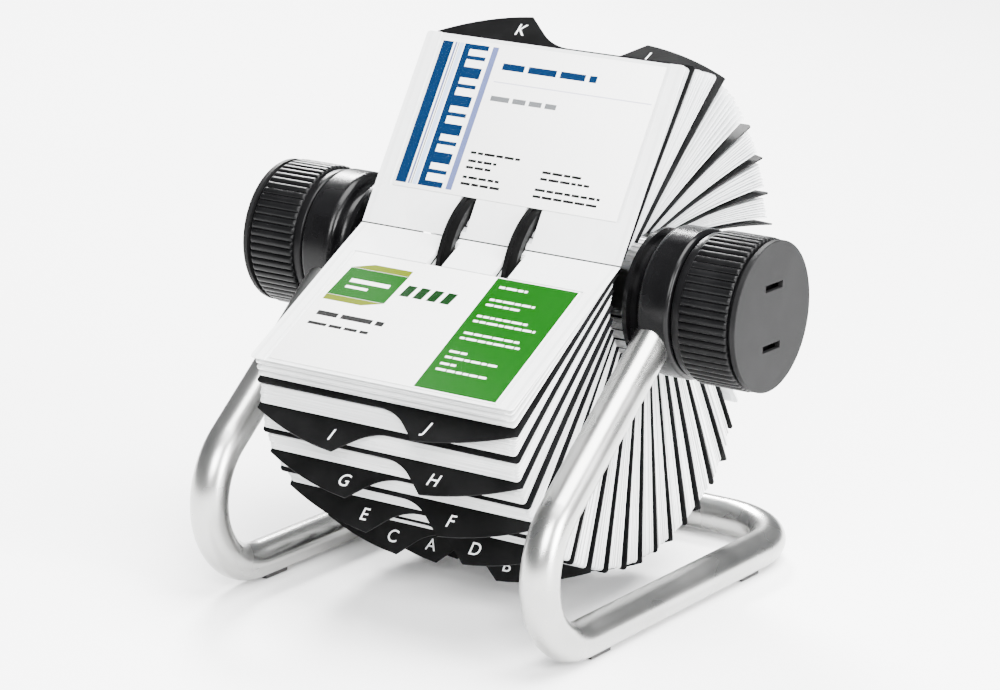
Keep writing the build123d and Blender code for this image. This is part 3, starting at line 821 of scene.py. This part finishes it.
def far_out(leaf, point):
    """Whether a packed corner is on the tab."""
    return (point - leaf["root"]).dot(leaf["along"]) > (LEAF_LENGTH + 3) * MM


# --- Knobs -------------------------------------------------------------------------------------
RIBS = 60
RIB_STEPS = (0.0, 0.04, 0.13, 0.27, 0.5, 0.73, 0.87, 0.96)


def rib_rise(share):
    """Height of a rib across its width, from 0 in the valley to 1."""
    return math.sqrt(max(0.0, 1 - (2 * share - 1) ** 2))


def lathe(name, loop, side, node, material, ribs=False):
    """A closed turned piece on the axle line. loop is (x, radius, rib height) round its section."""
    bm = bmesh.new()
    steps = RIB_STEPS if ribs else (0.0, 0.25, 0.5, 0.75)
    turns = [(n + s) / RIBS for n in range(RIBS) for s in steps]
    rises = [rib_rise(s) for _ in range(RIBS) for s in steps]
    rings = []
    for x, radius, height in loop:
        ring = []
        for turn, rise in zip(turns, rises):
            angle = 2 * math.pi * turn
            r = (radius - height * (1 - rise)) * MM
            ring.append(bm.verts.new((side * x * MM, AXLE.y + r * math.cos(angle),
                                      AXLE.z + r * math.sin(angle))))
        rings.append(ring)
    count = len(turns)
    for n in range(len(rings)):
        first, second = rings[n - 1], rings[n]
        for k in range(count):
            corners = [first[k], first[(k + 1) % count], second[(k + 1) % count], second[k]]
            made = bm.faces.new(corners if side > 0 else corners[::-1])
            made.smooth = True
    bmesh.ops.recalc_face_normals(bm, faces=bm.faces)
    finish_mesh(bm, name, [material], node)


def knob_section():
    """The knob's section, from the inner bore round the outside and back."""
    low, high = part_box("right_knob")
    inner, seat = low.x / MM, high.x / MM
    radius = (high.z - low.z) / 2 / MM
    lip, ribs, groove = radius - KNOB_LIP_STEP, inner + KNOB_LIP, seat - KNOB_GROOVE
    hub, deep, floor = inner + HUB_START, inner + KNOB_DEPTH, seat - KNOB_FLOOR
    valley = radius - RIB_HEIGHT
    loop = [(hub, KNOB_BORE, 0), (hub, KNOB_HUB, 0), (deep, KNOB_HUB, 0),
            (deep, lip - KNOB_WALL, 0), (inner, lip - KNOB_WALL, 0), (inner, lip - 0.9, 0),
            (inner + 0.12, lip - 0.45, 0), (inner + 0.45, lip - 0.12, 0), (inner + 0.9, lip, 0),
            (ribs - 0.5, lip, 0), (ribs, lip - 0.1, 0)]
    shares = (0.0, 0.15, 0.4, 0.7, 1.0)
    bends = [RIB_HEIGHT * math.sqrt(1 - (1 - share) ** 2) for share in shares]
    ends = list(zip(shares, bends))
    loop += [(ribs + RIB_ENDS[0] * share, valley + bend, bend) for share, bend in ends]
    loop += [(groove - RIB_ENDS[1] * share, valley + bend, bend) for share, bend in ends[::-1]]
    loop += [(groove, radius - KNOB_GROOVE_DEPTH, 0), (seat, radius - KNOB_GROOVE_DEPTH, 0),
             (seat, CAP_BORE, 0), (floor, CAP_BORE, 0), (floor, KNOB_BORE, 0)]
    return loop


def build_knobs():
    for name, side in (("right", 1), ("left", -1)):
        lathe(f"{name}_ribbed_knob", knob_section(), side, f"{name}_knob",
              KNOB_BLACK, ribs=True)


# --- Carried-over nodes ------------------------------------------------------------------------
def paint_nodes():
    finish = {"tube_frame": TUBE_SILVER, "foot_pads": RUBBER, "left_housing": BLACK,
              "right_housing": BLACK, "left_bush": ACETAL, "right_bush": ACETAL, "axle": STEEL,
              "knob_screws": STEEL, "friction_washers": STEEL, "hub_spacer": RING_BLACK,
              "axle_tubes": RING_BLACK, "left_ring_wheel": RING_BLACK,
              "right_ring_wheel": RING_BLACK, "left_knob_cap": CAP_GREY, "right_knob_cap": CAP_GREY}
    for node, material in finish.items():
        for holder in NODES[node].material_slots:
            holder.material = material


# --- Studio ------------------------------------------------------------------------------------
def area_light(name, place, target, size, power):
    data = bpy.data.lights.new(name, "AREA")
    data.shape = "RECTANGLE"
    data.size, data.size_y = size
    data.energy = power
    lamp = bpy.data.objects.new(name, data)
    lamp.location = place
    lamp.rotation_euler = (Vector(target) - Vector(place)).to_track_quat("-Z", "Y").to_euler()
    bpy.context.scene.collection.objects.link(lamp)


def build_studio():
    bm = bmesh.new()
    reach = 3.0
    corners = [(-reach, -reach), (reach, -reach), (reach, reach), (-reach, reach)]
    bm.faces.new([bm.verts.new((x, y, -0.0003)) for x, y in corners])
    mesh = bpy.data.meshes.new("floor")
    bm.to_mesh(mesh)
    bm.free()
    floor = bpy.data.objects.new("floor", mesh)
    bpy.context.scene.collection.objects.link(floor)
    pale, tree, shader = new_material("floor_pale")
    grain = noise(tree, 30.0, 3.0)
    tree.links.new(mix(tree, grain, colour(0.95, 0.95, 0.95), colour(0.97, 0.97, 0.97)),
                   shader.inputs["Base Color"])
    shader.inputs["Roughness"].default_value = 0.75
    mesh.materials.append(pale)

    world = bpy.data.worlds.new("studio")
    world.use_nodes = True
    world.node_tree.nodes["Background"].inputs["Color"].default_value = colour(0.95, 0.97, 1.0)
    world.node_tree.nodes["Background"].inputs["Strength"].default_value = 0.35
    bpy.context.scene.world = world
    area_light("top", (0.5, 0.1, 1.6), (0, 0, 0.05), (1.3, 1.3), 150)
    area_light("key", (0.8, -1.4, 1.1), (0, 0, 0.1), (0.8, 0.8), 80)
    area_light("side", (1.5, -0.2, 0.45), (0, 0, 0.08), (0.6, 0.8), 75)
    area_light("back", (-1.1, 1.2, 1.2), (0, 0, 0.1), (0.5, 0.3), 110)


def build_camera():
    data = bpy.data.cameras.new("camera")
    data.lens = CAMERA_LENS
    data.sensor_width = 36.0
    camera = bpy.data.objects.new("camera", data)
    place, target = Vector(CAMERA_PLACE), Vector(CAMERA_TARGET)
    roll = Matrix.Rotation(math.radians(CAMERA_ROLL), 3, "Z")
    turn = (target - place).to_track_quat("-Z", "Y").to_matrix() @ roll
    camera.matrix_world = Matrix.Translation(place) @ turn.to_4x4()
    bpy.context.scene.collection.objects.link(camera)
    bpy.context.scene.camera = camera


build_leaves()
build_knobs()
paint_nodes()
build_studio()
build_camera()
